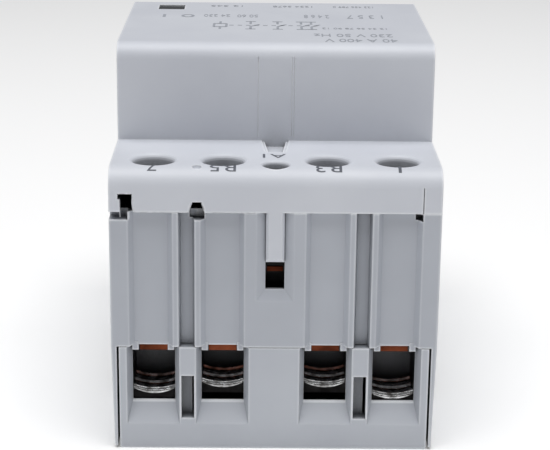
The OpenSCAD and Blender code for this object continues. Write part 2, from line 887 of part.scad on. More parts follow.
base_housing();
front_cover();
terminal_block(true);  // terminal_block_line
terminal_block(false);  // terminal_block_load
indicator_window();
status_flag();
coil_bobbin();
coil_winding();
magnet_core();
core_rivets();
core_pads();
armature();
contact_carrier();
bridge_tips();
fixed_tips();
return_spring(-1);  // return_spring_left
return_spring(1);  // return_spring_right
main_bars(true);  // main_bars_line
main_bars(false);  // main_bars_load
coil_bars();
coil_cage(true);  // coil_cage_line
coil_cage(false);  // coil_cage_load
coil_screw(true);  // coil_screw_line
coil_screw(false);  // coil_screw_load
coil_leads();
rectifier_board();
arc_chamber(true);  // arc_chamber_line
arc_chamber(false);  // arc_chamber_load
rail_clip();
rail_clip_spring();
for (pole = poles) {
    contact_bridge(pole);
    contact_spring(pole);
    main_cage(true, pole);
    main_cage(false, pole);
    main_screw(true, pole);
    main_screw(false, pole);
}
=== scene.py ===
import math

import bmesh
import bpy
import numpy as np
from mathutils import Matrix, Vector


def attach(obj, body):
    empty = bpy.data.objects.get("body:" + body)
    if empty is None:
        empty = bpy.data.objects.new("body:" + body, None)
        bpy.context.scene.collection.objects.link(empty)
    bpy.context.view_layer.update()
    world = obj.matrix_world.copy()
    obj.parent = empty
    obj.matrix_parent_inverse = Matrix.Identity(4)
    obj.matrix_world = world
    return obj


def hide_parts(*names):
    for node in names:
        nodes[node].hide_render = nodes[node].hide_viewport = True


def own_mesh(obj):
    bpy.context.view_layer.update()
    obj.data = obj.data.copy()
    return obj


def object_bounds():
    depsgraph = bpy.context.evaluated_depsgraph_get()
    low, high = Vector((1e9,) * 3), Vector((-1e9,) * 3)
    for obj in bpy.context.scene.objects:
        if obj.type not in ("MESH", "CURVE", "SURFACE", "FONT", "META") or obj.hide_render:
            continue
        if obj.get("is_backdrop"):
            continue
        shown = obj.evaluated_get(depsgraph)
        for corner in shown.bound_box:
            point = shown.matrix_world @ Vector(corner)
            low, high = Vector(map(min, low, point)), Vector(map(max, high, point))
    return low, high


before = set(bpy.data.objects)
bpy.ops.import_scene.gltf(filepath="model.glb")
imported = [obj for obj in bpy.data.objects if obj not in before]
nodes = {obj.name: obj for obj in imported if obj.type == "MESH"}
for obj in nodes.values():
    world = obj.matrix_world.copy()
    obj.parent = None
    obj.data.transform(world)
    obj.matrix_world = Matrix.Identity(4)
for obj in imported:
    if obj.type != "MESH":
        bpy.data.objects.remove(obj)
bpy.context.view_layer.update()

MM = 0.001

# ---- Camera ----
# A long lens, a little above the line end and almost square to it, so the end wall, the shoulder
# and the top of the nose all show. It stands 300 mm away and looks 17 degrees down.
scene = bpy.context.scene
camera = bpy.data.objects.new("camera", bpy.data.cameras.new("camera"))
scene.collection.objects.link(camera)
camera.data.lens = 110.7
camera.data.sensor_width = 36
camera.data.clip_start = 0.01
yaw, tilt, roll = math.radians(-0.58), math.radians(90 - 16.836), math.radians(0.613)
turn = Matrix.Rotation(yaw, 4, "Z") @ Matrix.Rotation(tilt, 4, "X") @ Matrix.Rotation(roll, 4, "Z")
camera.matrix_world = Matrix.Translation(Vector((-2.709, -302.208, 117.611)) * MM) @ turn
scene.camera = camera

# ---- Studio ----
# A white table, a broad soft box overhead and a little forward, one on each side and a pale room all round.
scene.view_settings.view_transform = "Standard"


def linear(hex_colour):
    """sRGB hex to linear RGBA: each channel is v / 12.92 below 0.04045 and ((v + 0.055) / 1.055) ** 2.4 above."""
    v = np.array([int(hex_colour[i : i + 2], 16) for i in (1, 3, 5)]) / 255
    return (*np.where(v <= 0.04045, v / 12.92, ((v + 0.055) / 1.055) ** 2.4), 1.0)


def add(tree, kind, sockets=None, **settings):
    """Adds one shader node. settings are its own options; sockets maps an input's name or number to a value,
    or to (node, output) for a link."""
    made = tree.nodes.new("ShaderNode" + kind)
    for option, value in settings.items():
        setattr(made, option, value)
    for name, value in (sockets or {}).items():
        if isinstance(value, tuple) and isinstance(value[0], bpy.types.Node):
            tree.links.new(value[0].outputs[value[1]], made.inputs[name])
        else:
            made.inputs[name].default_value = value
    return made


def new_material(name):
    """An empty node material: returns it, its tree and its Object coordinates node."""
    material = bpy.data.materials.new(name)
    material.use_nodes = True
    material.node_tree.nodes.clear()
    return material, material.node_tree, add(material.node_tree, "TexCoord")


def finish_material(tree, **sockets):
    """Principled surface from the given sockets, joined to the output."""
    surface = add(tree, "BsdfPrincipled", {name.replace("_", " "): value for name, value in sockets.items()})
    add(tree, "OutputMaterial", {"Surface": (surface, "BSDF")})


def soft_box(name, place, aim, size, watts):
    """A rectangular soft light at place, in metres, turned towards aim."""
    lamp = bpy.data.lights.new(name, "AREA")
    lamp.shape, lamp.size, lamp.size_y, lamp.energy = "RECTANGLE", size[0], size[1], watts
    holder = bpy.data.objects.new(name, lamp)
    scene.collection.objects.link(holder)
    holder.location = place
    holder.rotation_euler = (Vector(aim) - Vector(place)).to_track_quat("-Z", "Y").to_euler()


middle = (0, 0, 0.03)
soft_box("overhead", (0.0, -0.15, 0.9), middle, (0.9, 0.7), 8.3)
for side in (-1, 1):
    soft_box(f"side_{(side + 1) // 2}", (0.8 * side, -0.3, 0.3), middle, (0.5, 0.5), 0.3)
world = bpy.data.worlds.new("pale_room")
scene.world = world
world.use_nodes = True
world.node_tree.nodes["Background"].inputs["Color"].default_value = linear("#f6f7fa")
world.node_tree.nodes["Background"].inputs["Strength"].default_value = 0.14

floor_material, tree, coord = new_material("matt_white_table")
white = linear("#ffffff")
finish_material(tree, Base_Color=white, Roughness=0.6, Emission_Color=white, Emission_Strength=0.15)
floor_mesh = bpy.data.meshes.new("table")
reach = 3.0
corners = [(-reach, -reach, 0), (reach, -reach, 0), (reach, reach, 0), (-reach, reach, 0)]
floor_mesh.from_pydata(corners, [], [(0, 1, 2, 3)])
floor_mesh.materials.append(floor_material)
table = bpy.data.objects.new("table", floor_mesh)
scene.collection.objects.link(table)
table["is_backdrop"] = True

# ---- Case ----
# Base, cover and terminal inserts, injection moulded in light grey plastic with a fine spark-eroded
# finish. The inserts slide in from the back, the base closes under the cover's skirt.


def moulded(name, tones, roughness, ior, edge_highlight_tone, well_shade_tone=1.0):
    """Moulded plastic: a 0.12 mm spark-eroded grain, drag lines down the drawn walls, a slow change between two
    tones where the melt flowed, a painted highlight that turns outer edges to a paler line, and painted shade
    that darkens deep wells by the given shade factor."""
    material, tree, coord = new_material(name)
    grain = add(tree, "TexNoise", {"Vector": (coord, "Object"), "Scale": 1 / (0.48 * MM), "Detail": 3.0})
    drawn = add(tree, "Mapping", {"Vector": (coord, "Object"), "Scale": (1.0, 1.0, 0.03)})
    drag = add(tree, "TexNoise", {"Vector": (drawn, "Vector"), "Scale": 1 / (0.9 * MM), "Detail": 4.0})
    flow = add(tree, "TexNoise", {"Vector": (coord, "Object"), "Scale": 1 / (14 * MM), "Detail": 3.0})
    share = add(tree, "MapRange", {"Value": (flow, "Fac"), "From Min": 0.3, "From Max": 0.7})
    tone = add(tree, "Mix", {0: (share, "Result"), 6: linear(tones[0]), 7: linear(tones[1])}, data_type="RGBA")
    eased = add(tree, "Bevel", {"Radius": 0.22 * MM}, samples=6)
    # Painted highlight: convex outer edges, found by short inward occlusion rays, are mixed towards the paler edge
    # colour.
    corner = add(tree, "AmbientOcclusion", {"Distance": 0.4 * MM}, samples=8, inside=True)
    edge = add(tree, "MapRange", {"Value": (corner, "AO"), "From Min": 0.95, "From Max": 0.5, "To Max": 0.7})
    edge_highlighted = add(tree, "Mix", {0: (edge, "Result"), 6: (tone, 2), 7: linear(edge_highlight_tone)}, data_type="RGBA")
    # Painted shade: where little open room is in reach, the colour is multiplied down towards the shade factor, so
    # deep wells come out dark.
    sky = add(tree, "AmbientOcclusion", {"Distance": 16 * MM}, samples=6)
    enclosed, exposed = 0.12, 0.4
    shading = {"Value": (sky, "AO"), "From Min": enclosed, "From Max": exposed, "To Min": well_shade_tone}
    well = add(tree, "MapRange", shading)
    parts = {0: 1.0, 6: (edge_highlighted, 2), 7: (well, "Result")}
    shaded_in_wells = add(tree, "Mix", parts, data_type="RGBA", blend_type="MULTIPLY")
    sheen = add(tree, "MapRange", {"Value": (grain, "Fac"), "To Min": roughness[0], "To Max": roughness[1]})
    drag_depth, grain_depth = 0.02 * MM, 0.015 * MM
    relief = {"Height": (drag, "Fac"), "Normal": (eased, "Normal"), "Strength": 0.3, "Distance": drag_depth}
    lines = add(tree, "Bump", relief)
    relief = {"Height": (grain, "Fac"), "Normal": (lines, "Normal"), "Strength": 0.35, "Distance": grain_depth}
    bump = add(tree, "Bump", relief)
    finish_material(tree, Base_Color=(shaded_in_wells, 2), Roughness=(sheen, "Result"), Normal=(bump, "Normal"), IOR=ior)
    return material


def dress(material, *names):
    """Gives CAD nodes one material."""
    for name in names:
        nodes[name].data.materials.clear()
        nodes[name].data.materials.append(material)


# Light grey polycarbonate blend with a soft satin sheen, as electrical cases are.
# For this plastic and the two below, the pale last colour is a painted edge highlight and the small shade factor for
# wells a painted shade.
grey_plastic = moulded(
    "moulded_grey_polycarbonate", ("#cbced6", "#d2d5dc"), (0.42, 0.56), 1.58, "#f6f8fb", well_shade_tone=0.03
)
dress(grey_plastic, "front_cover")
# The base is a shade darker, and its inserts lie between the two.
base_plastic = moulded(
    "moulded_darker_grey_polycarbonate", ("#b1b5bd", "#b8bcc4"), (0.42, 0.56), 1.58, "#f6f8fb", well_shade_tone=0.02
)
dress(base_plastic, "base_housing")
insert_plastic = moulded(
    "moulded_mid_grey_polycarbonate", ("#b9bdc5", "#c0c4cb"), (0.42, 0.56), 1.58, "#f6f8fb", well_shade_tone=0.02
)
dress(insert_plastic, "terminal_block_line", "terminal_block_load")

# ---- Flash and parting lines ----
# Thin ribs of plastic that squeezed between the tool's inserts: up both sides of the nose's middle strip,
# along the skirt's lower edge and round its latch windows. Same grey plastic, moulded on.


def swept(path, outward, section, swell=1.0):
    """A section carried along a path. At each station the section's second coordinate runs along outward and its
    first along outward x tangent; swell scales it station by station. Rows are stations, columns the section."""
    path = np.asarray(path, float)
    tangent = np.gradient(path, axis=0)
    tangent /= np.linalg.norm(tangent, axis=1, keepdims=True)
    outward = np.broadcast_to(np.asarray(outward, float), path.shape)
    side = np.cross(outward, tangent)
    side /= np.linalg.norm(side, axis=1, keepdims=True)
    section = np.asarray(section, float)
    swell = np.broadcast_to(swell, (len(path),))[:, None, None]
    return path[:, None] + swell * (section[None, :, :1] * side[:, None] + section[None, :, 1:] * outward[:, None])


def grid_piece(name, points, material, body, ring=False):
    """One piece from a grid of points (rows, columns, 3) in millimetres. Columns join into a loop. Rows join too
    if it is a ring, and otherwise one face caps the first row and one the last. Edges over 40 degrees stay sharp."""
    rows, columns = points.shape[:2]
    index = np.arange(rows * columns).reshape(rows, columns)
    index = np.hstack([index, index[:, :1]])
    if ring:
        index = np.vstack([index, index[:1]])
    faces = np.stack([index[:-1, :-1], index[1:, :-1], index[1:, 1:], index[:-1, 1:]], -1).reshape(-1, 4).tolist()
    if not ring:
        faces += [index[0, :-1].tolist(), index[-1, :-1].tolist()]
    mesh = bpy.data.meshes.new(name)
    mesh.from_pydata((points.reshape(-1, 3) * MM).tolist(), [], faces)
    shaped = bmesh.new()
    shaped.from_mesh(mesh)
    bmesh.ops.recalc_face_normals(shaped, faces=shaped.faces)
    shaped.to_mesh(mesh)
    shaped.free()
    mesh.shade_smooth()
    mesh.set_sharp_from_angle(angle=math.radians(40))
    return place_piece(name, mesh, material, body)


def place_piece(name, mesh, material, body):
    """Links a finished mesh as a piece of the object on its body, with its material slot."""
    mesh.materials.append(material)
    piece = bpy.data.objects.new(name, mesh)
    scene.collection.objects.link(piece)
    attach(piece, body)
    return piece


case_half_y = 42.5
nose_half, nose_top, nose_edge = 22.5, 64.5, 2.6
shoulder_top, shoulder_edge = 48.0, 3.2
ends = {"line": -1, "load": 1}
shards = np.random.default_rng(7)


def flash(name, start, finish, outward, width, height, ragged=0.5):
    """A thin rib with a three-sided section, its height uneven along its length as torn flash is."""
    stations = np.linspace(0, 1, 24)[:, None]
    path = np.array(start) * (1 - stations) + np.array(finish) * stations
    swell = 1 - ragged * shards.random(24)
    rooted = -0.02
    section = [(-width / 2, rooted), (width / 2, rooted), (width * 0.1, height)]
    grid_piece(name, swept(path, outward, section, swell), grey_plastic, "root")


line_low, line_high = 48.6, 62.4
for end, way in ends.items():
    face = way * nose_half
    for side, x in (("left", -2.95), ("right", 2.75), ("far_right", 3.15)):
        low, high = (x, face, line_low), (x, face, line_high)
        flash(f"nose_line_{end}_{side}", low, high, (0, way, 0), 0.12, 0.05, 0.25)
    skirt_face = way * case_half_y
    burrs = {
        "skirt_left": ((-22.7, 40.98), (-14.2, 40.98)),
        "skirt_middle": ((-11.4, 40.98), (-3.2, 40.98)),
        "latch_left": ((-24.9, 40.2), (-25.0, 43.0)),
        "latch_top": ((-25.3, 44.02), (-23.0, 44.02)),
        "latch_right": ((-23.0, 43.9), (-22.7, 41.1)),
        "rib_latch_left": ((-13.9, 41.2), (-13.4, 42.6)),
        "rib_latch_right": ((-11.45, 41.2), (-11.85, 42.6)),
    }
    for name, ((low_x, low_z), (high_x, high_z)) in burrs.items():
        low, high = (low_x, skirt_face, low_z), (high_x, skirt_face, high_z)
        flash(f"burr_{name}_{end}", low, high, (0, way, 0), 0.2, 0.1)

# ---- Marks ----
# Terminal numbers and the print on the nose, pad printed in thin grey ink a few micrometres thick. All of it
# reads with the line end up.
ink, tree, coord = new_material("pad_printed_grey_ink")
# Matt ink over the case's grain: it breaks up slightly where the grain is high.
speck = add(tree, "TexNoise", {"Vector": (coord, "Object"), "Scale": 1 / (0.5 * MM), "Detail": 2.0})
ink_tone = add(tree, "Mix", {0: (speck, "Fac"), 6: linear("#474a52"), 7: linear("#646872")}, data_type="RGBA")
finish_material(tree, Base_Color=(ink_tone, 2), Roughness=0.6)
faint_ink, tree, coord = new_material("worn_pale_grey_ink")
# The same ink, worn thin by handling, so the plastic shows through.
speck = add(tree, "TexNoise", {"Vector": (coord, "Object"), "Scale": 1 / (0.7 * MM), "Detail": 3.0})
ink_tone = add(tree, "Mix", {0: (speck, "Fac"), 6: linear("#8c9099"), 7: linear("#b4b8c0")}, data_type="RGBA")
finish_material(tree, Base_Color=(ink_tone, 2), Roughness=0.6)

ink_height = 0.03


def case_top(y):
    """Height of the case's upper surface at y: flat, then falling along a quarter circle to each end."""
    past = np.clip(np.abs(y) - (case_half_y - shoulder_edge), 0, shoulder_edge)
    shoulder = shoulder_top - shoulder_edge + np.sqrt(shoulder_edge**2 - past**2)
    past = np.clip(np.abs(y) - (nose_half - nose_edge), 0, nose_edge)
    nose = nose_top - nose_edge + np.sqrt(nose_edge**2 - past**2)
    return np.where(np.abs(y) <= nose_half, nose, shoulder)


def printed(name, text, x, y, height, width, material):
    """One word of print centred at x, y, with capitals of the given height, drawn out to the given width. Its
    outline is cut into bands 0.15 mm deep, so that it can bend, and laid on the case's upper surface, turned half
    round."""
    capital_share, band = 0.69, 0.15
    curve = bpy.data.curves.new(name, "FONT")
    curve.body, curve.align_x, curve.align_y, curve.size = text, "CENTER", "CENTER", height / capital_share
    holder = bpy.data.objects.new(name + "_outline", curve)
    scene.collection.objects.link(holder)
    mesh = bpy.data.meshes.new_from_object(holder.evaluated_get(bpy.context.evaluated_depsgraph_get()))
    bpy.data.objects.remove(holder)
    banded = bmesh.new()
    banded.from_mesh(mesh)
    for level in np.arange(-height, height, band):
        everything = banded.verts[:] + banded.edges[:] + banded.faces[:]
        bmesh.ops.bisect_plane(banded, geom=everything, plane_co=(0, level, 0), plane_no=(0, 1, 0))
    banded.to_mesh(mesh)
    banded.free()
    flat = np.empty(len(mesh.vertices) * 3, np.float32)
    mesh.vertices.foreach_get("co", flat)
    flat = flat.reshape(-1, 3)
    across = (flat[:, 0] - flat[:, 0].min()) / np.ptp(flat[:, 0]) - 0.5
    laid = np.stack([x - width * across, y - flat[:, 1], flat[:, 2]], -1)
    laid[:, 2] = case_top(laid[:, 1]) + ink_height
    mesh.vertices.foreach_set("co", (laid * MM).ravel().astype(np.float32))
    mesh.materials.clear()
    place_piece(name, mesh, material, "root")


def strokes(name, segments, width, material):
    """Straight strokes of print on the nose: each segment (x0, y0, x1, y1) becomes one flat strip of the width."""
    segments = np.array(segments, float)
    start, finish = segments[:, :2], segments[:, 2:]
    along = (finish - start) / np.linalg.norm(finish - start, axis=1, keepdims=True)
    across = np.stack([-along[:, 1], along[:, 0]], -1) * width / 2
    corners = np.stack([start - across, finish - across, finish + across, start + across], 1).reshape(-1, 2)
    heights = case_top(corners[:, 1]) + ink_height
    mesh = bpy.data.meshes.new(name)
    strips = np.arange(len(corners)).reshape(-1, 4).tolist()
    mesh.from_pydata((np.column_stack([corners, heights]) * MM).tolist(), [], strips)
    place_piece(name, mesh, material, "root")


pole_x = {1: 19.9, 2: 8.5, 3: -8.5, 4: -19.9}
terminal_names = {"line": ["1", "R3", "R5", "7", "A1"], "load": ["2", "R4", "R6", "8", "A2"]}
number_y, number_height = 40.1, 1.8
coil_number_x, coil_number_y, coil_number_height, coil_number_width = -0.2, 32.9, 2.4, 3.8
label_width = {"1": 0.5, "2": 1.5, "7": 1.5, "8": 1.5, "R": 4.2}
for end, way in ends.items():
    for pole, x in pole_x.items():
        label = terminal_names[end][pole - 1]
        printed(f"number_{label}", label, x, way * number_y, number_height, label_width[label[0]], ink)
    label = terminal_names[end][4]
    y = way * coil_number_y
    printed(f"number_{label}", label, coil_number_x, y, coil_number_height, coil_number_width, ink)

# wiring diagram: a coil symbol, then a row of contact symbols joined by a dashed link
diagram_low, diagram_high, link_y = -8.0, -0.6, -4.4
contacts_x = np.array([-4.4, 0.4, 4.6, 6.4])
drawing = []
for x in contacts_x:
    drawing += [
        (x, diagram_low, x, diagram_low + 2.6), (x, diagram_high - 2.4, x, diagram_high),
        (x, diagram_low + 2.6, x + 1.5, diagram_high - 2.8), (x - 0.9, diagram_high, x + 0.9, diagram_high),
        (x - 0.9, diagram_low, x + 0.9, diagram_low),
    ]
coil_x, coil_box = -9.8, np.array([1.1, 1.6])
low_corner, high_corner = (coil_x, link_y) - coil_box, (coil_x, link_y) + coil_box
drawing += [
    (low_corner[0], low_corner[1], high_corner[0], low_corner[1]),
    (low_corner[0], high_corner[1], high_corner[0], high_corner[1]),
    (low_corner[0], low_corner[1], low_corner[0], high_corner[1]),
    (high_corner[0], low_corner[1], high_corner[0], high_corner[1]),
    (coil_x, high_corner[1], coil_x, diagram_high), (coil_x, diagram_low, coil_x, low_corner[1]),
]
drawing += [(x, link_y, x + 0.8, link_y) for x in np.arange(coil_x + 1.6, contacts_x[-1] + 0.8, 1.5)]
strokes("nose_diagram", drawing, 0.42, faint_ink)
rows = {
    "rating_a": ("40 A 400 V", 14.5, -18.0, 2.7, 12.4), "rating_b": ("230 V 50 Hz", 13.4, -13.3, 2.6, 13.6),
    "rating_c": ("12 34 56 78 90 12", 13.9, -6.8, 1.3, 11.4), "rating_d": ("1 3 5 7", 16.4, 5.4, 3.4, 6.6),
    "rating_e": ("2 4 6 8", 7.6, 5.4, 3.2, 4.6), "rating_f": ("50 60", -5.0, 5.4, 2.6, 3.8),
    "rating_g": ("24 230", -10.6, 5.6, 2.4, 4.8), "rating_h": ("0 1", -17.6, 5.2, 2.8, 5.8),
    "rating_i": ("123 456 789 0", 14.8, 16.0, 1.6, 7.6), "rating_j": ("1234 5678", 3.4, 16.0, 1.6, 7.4),
    "rating_k": ("12 345", -9.0, 16.2, 1.5, 6.0),
}
for name, (text, x, y, height, width) in rows.items():
    printed("nose_" + name, text, x, y, height, width, faint_ink)

# ---- Window and flag ----
# A smoked pane snapped in from inside, over a flag on the crossbar's arm that shows the contacts' state.
smoked, tree, coord = new_material("smoked_clear_polycarbonate")
# Polished clear plastic, dyed almost black: it mirrors the room, and only a hint of the flag shows through.
wipe = add(tree, "TexNoise", {"Vector": (coord, "Object"), "Scale": 1 / (3 * MM), "Detail": 2.0})
polish = add(tree, "MapRange", {"Value": (wipe, "Fac"), "To Min": 0.06, "To Max": 0.16})
dye = linear("#3c4044")
finish_material(tree, Base_Color=dye, Roughness=(polish, "Result"), IOR=1.58, Transmission_Weight=0.35)
dress(smoked, "indicator_window")
# The pale last colour is a painted highlight along the flag's outer edges.
flag_red = moulded("moulded_red_acetal", ("#b23a2e", "#be4436"), (0.35, 0.5), 1.48, "#d8665a")
dress(flag_red, "status_flag")

# ---- Clamp screws ----
# Zinc plated steel, cold headed with a slot and a shorter cross, with a rolled 0.8 mm thread (0.5 mm on the
# coil's). They turn in the base's shelf and are reached down the wells in the shoulders.


def worked_metal(name, clean, dull, patch, roughness, lay):
    """A worked metal: two tones mixed in patches (patch in mm), fine lines stretched by lay along the way it was
    drawn or rolled, and a roughness that follows both."""
    material, tree, coord = new_material(name)
    stretched = add(tree, "Mapping", {"Vector": (coord, "Object"), "Scale": lay})
    lines = add(tree, "TexNoise", {"Vector": (stretched, "Vector"), "Scale": 1 / (0.25 * MM), "Detail": 4.0})
    clouds = add(tree, "TexNoise", {"Vector": (coord, "Object"), "Scale": 1 / (patch * MM), "Detail": 5.0})
    share = add(tree, "MapRange", {"Value": (clouds, "Fac"), "From Min": 0.35, "From Max": 0.65})
    tone = add(tree, "Mix", {0: (share, "Result"), 6: linear(clean), 7: linear(dull)}, data_type="RGBA")
    sheen = add(tree, "MapRange", {"Value": (lines, "Fac"), "To Min": roughness[0], "To Max": roughness[1]})
    eased = add(tree, "Bevel", {"Radius": 0.1 * MM}, samples=4)
    relief = {"Height": (lines, "Fac"), "Normal": (eased, "Normal"), "Strength": 0.3, "Distance": 0.01 * MM}
    bump = add(tree, "Bump", relief)
    finish_material(tree, Base_Color=(tone, 2), Metallic=1.0, Roughness=(sheen, "Result"), Normal=(bump, "Normal"))
    return material


zinc = worked_metal("zinc_plated_steel", "#b7babf", "#8f9297", 1.2, (0.22, 0.4), (1, 1, 0.2))


def screw_points(shank_r, tip_z, head_z, head_r, head_t, pitch, slot_w):
    """A screw turned about Z: rows climb the profile from the tip's centre up the shank, out under the head, up
    its side and in over its top. The shank's radius is a ridge that moves up one pitch a turn, and the head's
    rows are pressed down to the slot's floor inside the slot and the cross."""
    thread_low, thread_high = tip_z + 0.3, head_z - 0.4
    root = 0.84 * shank_r
    top = head_z + head_t
    edge = 0.4
    climb = np.linspace(thread_low, thread_high, int((thread_high - thread_low) / pitch * 7))
    bend = np.linspace(0, math.pi / 2, 6)
    r = np.concatenate([
        [0.001, 0.7 * root], np.full(len(climb), root), [root, root, head_r - 0.15], np.full(5, head_r),
        head_r - edge + edge * np.cos(bend[1:]), np.linspace(head_r - edge, 0.001, 26)[1:],
    ])
    z = np.concatenate([
        [tip_z, tip_z], climb, [head_z - 0.2, head_z, head_z], np.linspace(head_z + 0.15, top - edge, 5),
        top - edge + edge * np.sin(bend[1:]), np.full(25, top),
    ])
    theta = np.linspace(0, 2 * math.pi, 96, endpoint=False)
    radius, height = np.repeat(r[:, None], 96, 1), np.repeat(z[:, None], 96, 1)
    turns = (height - theta / (2 * math.pi) * pitch) / pitch % 1
    ridge = np.clip(2.2 * np.abs(2 * turns - 1) - 0.6, 0, 1)
    threaded = (height >= thread_low) & (height <= thread_high) & (radius <= shank_r)
    fade = np.clip((height - thread_low) / pitch, 0, 1) * np.clip((thread_high - height) / pitch, 0, 1)
    radius = np.where(threaded, radius + (shank_r - root) * ridge * fade, radius)
    x, y = radius * np.cos(theta), radius * np.sin(theta)
    soft = 0.1
    slot = np.clip((slot_w / 2 - np.abs(y)) / soft + 0.5, 0, 1)
    cross = np.clip((slot_w / 2 - np.abs(x)) / soft + 0.5, 0, 1) * (np.abs(y) < 0.65 * head_r)
    floor = top - 0.55 * head_t
    height = height - np.maximum(slot, cross) * np.maximum(0, height - floor)
    return np.stack([x, y, height], -1)


screw_y, coil_screw_y = 35.7, 38.4
main_form = screw_points(shank_r=2.45, tip_z=17.9, head_z=30.5, head_r=3.0, head_t=3.0, pitch=0.8, slot_w=1.0)
coil_form = screw_points(shank_r=1.45, tip_z=31.45, head_z=36.5, head_r=2.0, head_t=2.2, pitch=0.5, slot_w=0.7)


def turned(form, angle):
    """The grid turned about Z by an angle, as a screw rests after it is tightened."""
    spin = np.array(Matrix.Rotation(angle, 3, "Z"))
    return form @ spin.T


for end, way in ends.items():
    for pole, x in pole_x.items():
        points = turned(main_form, 0.9 * pole + way) + (x, way * screw_y, 0)
        piece = grid_piece(f"threaded_screw_{end}_{pole}", points, zinc, f"screw_{end}_{pole}")
        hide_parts(f"main_screw_{end}_{pole}")
    points = turned(coil_form, 0.4 + way) + (0, way * coil_screw_y, 0)
    piece = grid_piece(f"threaded_coil_screw_{end}", points, zinc, f"coil_screw_{end}")
    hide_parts(f"coil_screw_{end}")

# ---- Clamp cages ----
# Strips of steel bent into a box round the copper bar, the box's steel painted near black as the shade deep in the
# wells. The screw lifts them, and their dished lower jaw, ridged across so that the wire can't slide out, presses
# the wire up against the bar. The ridges' crests are rubbed bright.
# Painted shade: the cages' steel is near black, standing for the dark inside of the wells.
cage_steel_painted_shade = worked_metal("steel_painted_dark_as_well_shade", "#1f1e1e", "#121111", 2.0, (0.3, 0.5), (0.1, 1, 1))
jaw_steel = worked_metal("rubbed_phosphated_steel", "#d6d7d8", "#55524f", 1.2, (0.16, 0.34), (0.1, 1, 1))
jaw_z, jaw_rise, jaw_half = 7.85, 1.0, 3.46
jaw_front, jaw_back, ridge_pitch, ridge_height, ridge_sag = 39.55, 32.2, 3.1, 0.42, 0.65
cage_up = {"line": [0, 2.0, 1.9, 0.75], "load": [0.3, 0, 0.6, 0]}


def jaw_points(x, way, up):
    """The jaw's ridged face: across X it follows an arc a little flatter than the dish, and along Y it rises and
    falls in flat-topped ridges. Columns run along the face and back 0.45 mm under it."""
    entry_half, first_ridge, plate_t = 3.5, 1.3, 0.45
    dish_r = (entry_half**2 + ridge_sag**2) / (2 * ridge_sag)
    across = np.linspace(-jaw_half, jaw_half, 30)
    y = np.linspace(jaw_front, jaw_back, 120)[:, None]
    dish = jaw_z + jaw_rise - ridge_sag + up + dish_r - np.sqrt(dish_r**2 - across**2)
    phase = 2 * math.pi * (jaw_front - first_ridge - y) / ridge_pitch
    ridge = ridge_height * np.clip(0.5 + 1.8 * np.cos(phase), 0, 1)
    face = np.stack(np.broadcast_arrays(x + across, way * y, dish + 0.01 + ridge), -1)
    under = np.stack(np.broadcast_arrays(x + across[::-1], way * y, dish[::-1] - plate_t), -1)
    return np.concatenate([face, under], 1)


for end, way in ends.items():
    for pole, x in pole_x.items():
        dress(cage_steel_painted_shade, f"main_cage_{end}_{pole}")
        points = jaw_points(x, way, cage_up[end][pole - 1])
        grid_piece(f"jaw_ridges_{end}_{pole}", points, jaw_steel, f"cage_{end}_{pole}")
    dress(cage_steel_painted_shade, f"coil_cage_{end}")

# ---- Copper ----
# Terminal bars, coil bars and moving bridges, punched and bent from copper strip that has browned slightly.
copper = worked_metal("browned_copper_strip", "#7a412b", "#4c2618", 3.0, (0.32, 0.5), (1, 0.15, 1))
bridges = [f"contact_bridge_{pole}" for pole in pole_x]
dress(copper, "main_bars_line", "main_bars_load", *bridges)
# Painted shade: the coil bars are a darker copy of the same copper, for the deep coil hole they sit in.
coil_copper_painted_shade = worked_metal("copper_strip_darkened_as_hole_shade", "#4a2113", "#2c130b", 3.0, (0.35, 0.55), (1, 0.15, 1))
dress(coil_copper_painted_shade, "coil_bars")

# ---- Contact tips ----
# Silver alloy buttons riveted to the arms and bridges, matt from the press, faintly tarnished.
silver = worked_metal("matt_silver_alloy", "#dcdad4", "#b5b0a6", 1.5, (0.28, 0.42), (1, 1, 1))
dress(silver, "bridge_tips", "fixed_tips")

# ---- Magnet ----
# Core and armature stacked from 0.5 mm silicon steel sheets across Y, held by the core's rivets.
laminated, tree, coord = new_material("stacked_silicon_steel")
# Sheared sheet edges, slightly oily: fine dark gaps every half millimetre between bluish grey sheets.
sheet = 0.5
stack = add(tree, "Mapping", {"Vector": (coord, "Object"), "Rotation": (0, 0, math.pi / 2)})
gaps = add(tree, "TexWave", {"Vector": (stack, "Vector"), "Scale": 1 / (sheet * MM * 3.2), "Distortion": 0.3})
blue = add(tree, "TexNoise", {"Vector": (coord, "Object"), "Scale": 1 / (4 * MM), "Detail": 3.0})
sheets = add(tree, "Mix", {0: (blue, "Fac"), 6: linear("#7b7f86"), 7: linear("#5c6068")}, data_type="RGBA")
gap_share = add(tree, "MapRange", {"Value": (gaps, "Fac"), "From Min": 0.0, "From Max": 0.25, "To Min": 0.25})
parts = {0: 1.0, 6: (sheets, 2), 7: (gap_share, "Result")}
striped = add(tree, "Mix", parts, data_type="RGBA", blend_type="MULTIPLY")
step = add(tree, "Bump", {"Height": (gaps, "Fac"), "Strength": 0.4, "Distance": 0.03 * MM})
finish_material(tree, Base_Color=(striped, 2), Metallic=1.0, Roughness=0.38, Normal=(step, "Normal"))
dress(laminated, "magnet_core", "armature")
dress(zinc, "core_rivets")
pad_rubber, tree, coord = new_material("black_nitrile_rubber")
# Moulded black rubber: matt, with a dusty bloom in patches.
bloom = add(tree, "TexNoise", {"Vector": (coord, "Object"), "Scale": 1 / (1.5 * MM), "Detail": 4.0})
rubber_tone = add(tree, "Mix", {0: (bloom, "Fac"), 6: linear("#1d1d1e"), 7: linear("#343435")}, data_type="RGBA")
finish_material(tree, Base_Color=(rubber_tone, 2), Roughness=0.82, IOR=1.52)
dress(pad_rubber, "core_pads")

